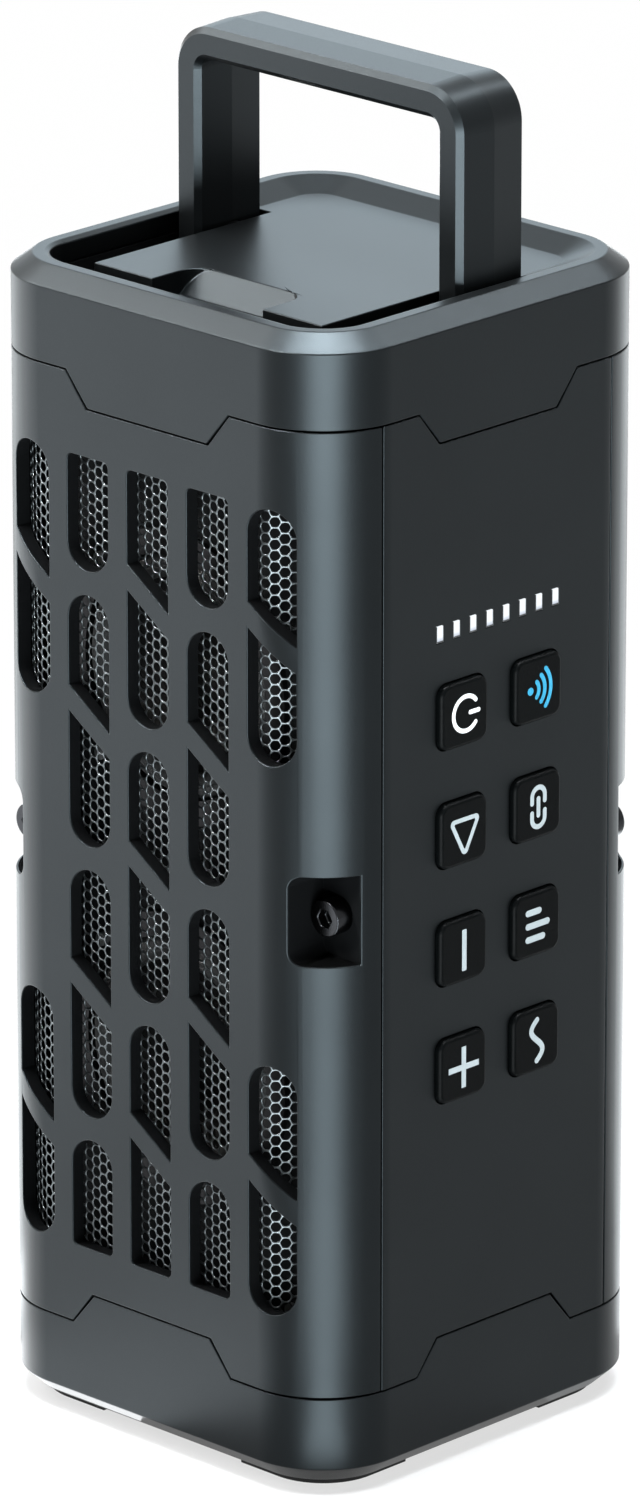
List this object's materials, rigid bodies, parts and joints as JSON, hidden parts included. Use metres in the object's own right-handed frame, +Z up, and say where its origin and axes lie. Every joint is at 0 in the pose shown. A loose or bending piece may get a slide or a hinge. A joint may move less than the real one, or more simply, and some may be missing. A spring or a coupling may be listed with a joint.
{
  "type": "portable wireless speaker",
  "caption": "Square upright wireless speaker with slotted grilles over metal mesh, a lit key panel on one side and a carrying handle that folds into the top.",
  "frame": {"origin": "middle of the footprint, on the plane of the feet", "axes": "+Z up, front grille towards -Y, control panel towards +X, handle turns about X"},
  "size_m": [0.0924, 0.09, 0.2591],
  "materials": {
    "shell": "satin",
    "panel": "satin",
    "cap": "satin",
    "handle": "satin",
    "mesh": "satin",
    "black_plastic": "matte",
    "black_screw": "satin",
    "steel": "satin",
    "washer": "matte",
    "brass": "satin",
    "rubber": "matte",
    "basket": "satin",
    "magnet": "matte",
    "cone": "matte",
    "radiator": "satin",
    "circuit_board": "satin",
    "clear_light": "gloss",
    "ribbon": "satin",
    "key": "satin",
    "cell": "gloss",
    "lead": "satin"
  },
  "bodies": {
    "case": {"front_shell": "shell", "rear_shell": "shell", "front_mesh": "mesh", "rear_mesh": "mesh", "control_panel": "panel", "port_panel": "panel", "top_cap": "cap", "handle_well": "black_plastic", "handle_pins": "steel", "handle_washers": "washer", "base_cap": "cap", "feet": "rubber", "shell_screws": "black_screw", "shell_inserts": "brass", "well_screws": "steel", "cap_screws": "steel", "base_screws": "steel", "speaker_box": "black_plastic", "baffle": "black_plastic", "baffle_gasket": "rubber", "baffle_screws": "steel", "driver_basket_upper": "basket", "driver_basket_lower": "basket", "driver_motor_upper": "magnet", "driver_motor_lower": "magnet", "driver_surround_upper": "rubber", "driver_surround_lower": "rubber", "driver_screws": "steel", "radiator_surround_upper": "rubber", "radiator_surround_lower": "rubber", "radiator_rings": "radiator", "main_board": "circuit_board", "usb_socket": "steel", "door_pin": "steel", "key_board": "circuit_board", "key_switches": "black_plastic", "light_guide": "clear_light", "level_leds": "clear_light", "board_screws": "steel", "key_ribbon": "ribbon", "battery_cells": "cell", "battery_tray": "black_plastic", "battery_lid": "black_plastic", "battery_pad": "rubber", "battery_leads": "lead"},
    "handle": {"handle": "handle"},
    "port_door": {"port_door": "rubber"},
    "key_power": {"key_power": "key"},
    "key_wireless": {"key_wireless": "key"},
    "key_play": {"key_play": "key"},
    "key_link": {"key_link": "key"},
    "key_minus": {"key_minus": "key"},
    "key_mode": {"key_mode": "key"},
    "key_plus": {"key_plus": "key"},
    "key_bass": {"key_bass": "key"},
    "cone_upper": {"driver_cone_upper": "cone"},
    "radiator_upper": {"radiator_plate_upper": "radiator"},
    "cone_lower": {"driver_cone_lower": "cone"},
    "radiator_lower": {"radiator_plate_lower": "radiator"}
  },
  "joints": [
    {"name": "handle_fold", "type": "hinge", "parent": "case", "child": "handle", "pos_m": [0, 0.0074, 0.2149], "axis": [1, 0, 0], "range_deg": [0, 90]},
    {"name": "door_swing", "type": "hinge", "parent": "case", "child": "port_door", "pos_m": [-0.0447, 0, 0.05685], "axis": [0, -1, 0], "range_deg": [0, 110]},
    {"name": "press_power", "type": "slide", "parent": "case", "child": "key_power", "axis": [-1, 0, 0], "range_m": [0, 0.0006], "stiffness_N_per_m": 1500},
    {"name": "press_wireless", "type": "slide", "parent": "case", "child": "key_wireless", "axis": [-1, 0, 0], "range_m": [0, 0.0006], "stiffness_N_per_m": 1500},
    {"name": "press_play", "type": "slide", "parent": "case", "child": "key_play", "axis": [-1, 0, 0], "range_m": [0, 0.0006], "stiffness_N_per_m": 1500},
    {"name": "press_link", "type": "slide", "parent": "case", "child": "key_link", "axis": [-1, 0, 0], "range_m": [0, 0.0006], "stiffness_N_per_m": 1500},
    {"name": "press_minus", "type": "slide", "parent": "case", "child": "key_minus", "axis": [-1, 0, 0], "range_m": [0, 0.0006], "stiffness_N_per_m": 1500},
    {"name": "press_mode", "type": "slide", "parent": "case", "child": "key_mode", "axis": [-1, 0, 0], "range_m": [0, 0.0006], "stiffness_N_per_m": 1500},
    {"name": "press_plus", "type": "slide", "parent": "case", "child": "key_plus", "axis": [-1, 0, 0], "range_m": [0, 0.0006], "stiffness_N_per_m": 1500},
    {"name": "press_bass", "type": "slide", "parent": "case", "child": "key_bass", "axis": [-1, 0, 0], "range_m": [0, 0.0006], "stiffness_N_per_m": 1500},
    {"name": "cone_stroke_upper", "type": "slide", "parent": "case", "child": "cone_upper", "axis": [0, -1, 0], "range_m": [-0.0015, 0.0015], "stiffness_N_per_m": 1200, "deforming": ["driver_surround_upper"]},
    {"name": "cone_stroke_lower", "type": "slide", "parent": "case", "child": "cone_lower", "axis": [0, -1, 0], "range_m": [-0.0015, 0.0015], "stiffness_N_per_m": 1200, "deforming": ["driver_surround_lower"]},
    {"name": "radiator_stroke_upper", "type": "slide", "parent": "case", "child": "radiator_upper", "axis": [0, 1, 0], "range_m": [-0.002, 0.002], "stiffness_N_per_m": 700, "deforming": ["radiator_surround_upper"]},
    {"name": "radiator_stroke_lower", "type": "slide", "parent": "case", "child": "radiator_lower", "axis": [0, 1, 0], "range_m": [-0.002, 0.002], "stiffness_N_per_m": 700, "deforming": ["radiator_surround_lower"]}
  ]
}
